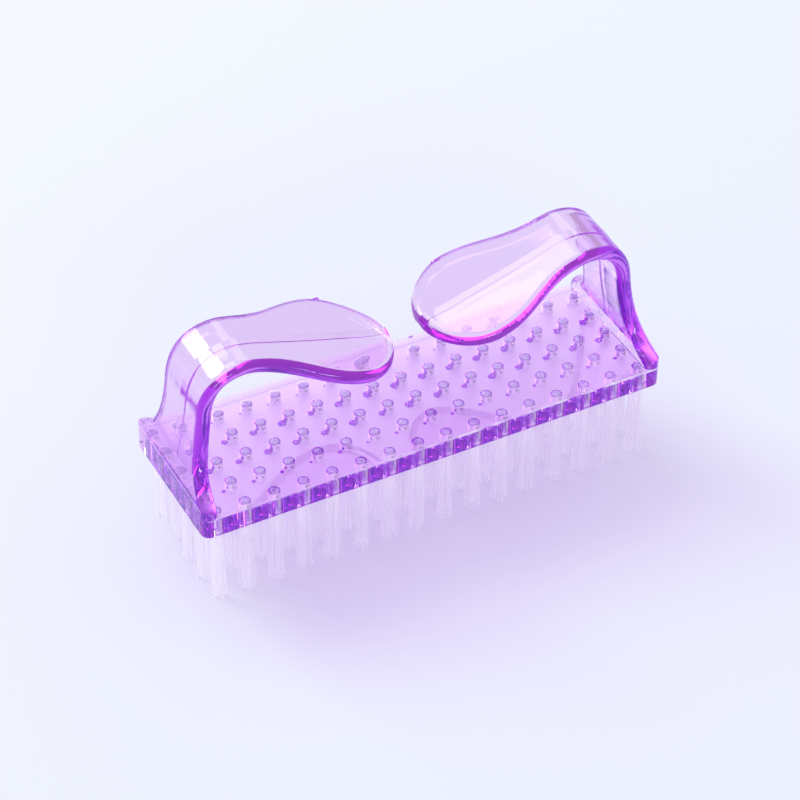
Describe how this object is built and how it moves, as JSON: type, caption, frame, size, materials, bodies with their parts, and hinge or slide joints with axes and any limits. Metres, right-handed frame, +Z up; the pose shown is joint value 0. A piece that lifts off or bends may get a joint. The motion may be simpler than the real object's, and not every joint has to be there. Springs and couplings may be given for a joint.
{
  "type": "nail brush",
  "caption": "Rectangular nail brush: clear tinted plate with stapled nylon tufts below and two claw-shaped finger handles curling in over the top.",
  "frame": {"origin": "centre of the brush's footprint, on the plane of the bristle tips", "axes": "+X along the plate from one handle to the other, +Y across the plate, +Z up from the bristle tips to the handles"},
  "size_m": [0.0954, 0.0298, 0.0488],
  "materials": {
    "clear_purple_plastic": "polished, see-through",
    "clear_nylon": "clear, glossy",
    "anchor_steel": "bright drawn flat wire"
  },
  "bodies": {
    "root": {"brush_body": "clear_purple_plastic", "tuft_column_01": "clear_nylon", "tuft_column_02": "clear_nylon", "tuft_column_03": "clear_nylon", "tuft_column_04": "clear_nylon", "tuft_column_05": "clear_nylon", "tuft_column_06": "clear_nylon", "tuft_column_07": "clear_nylon", "tuft_column_08": "clear_nylon", "tuft_column_09": "clear_nylon", "tuft_column_10": "clear_nylon", "tuft_column_11": "clear_nylon", "tuft_column_12": "clear_nylon", "tuft_column_13": "clear_nylon", "tuft_column_14": "clear_nylon", "tuft_column_15": "clear_nylon", "tuft_column_16": "clear_nylon", "anchor_column_01": "anchor_steel", "anchor_column_02": "anchor_steel", "anchor_column_03": "anchor_steel", "anchor_column_04": "anchor_steel", "anchor_column_05": "anchor_steel", "anchor_column_06": "anchor_steel", "anchor_column_07": "anchor_steel", "anchor_column_08": "anchor_steel", "anchor_column_09": "anchor_steel", "anchor_column_10": "anchor_steel", "anchor_column_11": "anchor_steel", "anchor_column_12": "anchor_steel", "anchor_column_13": "anchor_steel", "anchor_column_14": "anchor_steel", "anchor_column_15": "anchor_steel", "anchor_column_16": "anchor_steel"}
  },
  "joints": []
}
